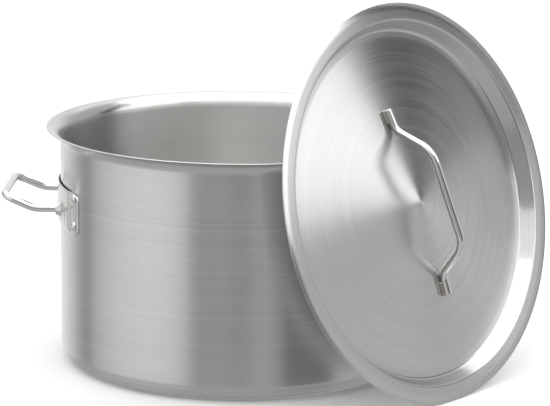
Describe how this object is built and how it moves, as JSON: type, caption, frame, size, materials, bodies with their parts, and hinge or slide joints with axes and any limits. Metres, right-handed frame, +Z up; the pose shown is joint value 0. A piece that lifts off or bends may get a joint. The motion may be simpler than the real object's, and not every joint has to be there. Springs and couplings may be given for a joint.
{
  "type": "stock pot",
  "caption": "Wide cylindrical stainless steel stock pot with a flared rim, bent-rod side handles in riveted brackets, and its loose lid leaning against it on edge.",
  "frame": {"origin": "centre of the flat underside of the base", "axes": "+Z up along the pot's axis, +X and -X through the side handles, -Y to the pot's front"},
  "size_m": [0.5527, 0.4664, 0.3781],
  "materials": {
    "pot_steel": "fine circumferential satin brush on stainless steel sheet",
    "base_steel": "satin magnetic stainless steel, spun underside",
    "core_aluminium": "plain rolled aluminium, hidden inside the base",
    "lid_steel": "spun satin stainless steel with concentric marks",
    "rod_steel": "polished stainless steel rod",
    "bracket_steel": "tumbled and polished pressed stainless sheet",
    "rivet_steel": "bright stainless rivet",
    "weld_steel": "brushed weld bead"
  },
  "bodies": {
    "pot": {"pot_body": "pot_steel", "base_core_disc": "core_aluminium", "base_cap": "base_steel", "right_handle_bracket": "bracket_steel", "right_handle_rod": "rod_steel", "right_handle_rivets": "rivet_steel", "right_handle_welds": "weld_steel", "left_handle_bracket": "bracket_steel", "left_handle_rod": "rod_steel", "left_handle_rivets": "rivet_steel", "left_handle_welds": "weld_steel"},
    "lid": {"lid_panel": "lid_steel", "lid_handle": "rod_steel", "lid_handle_welds": "weld_steel"}
  },
  "joints": [
    {"name": "lid_pull_away", "type": "slide", "parent": "pot", "child": "lid", "axis": [0.7345, -0.6273, 0.2588], "range_m": [0, 0.25]}
  ]
}
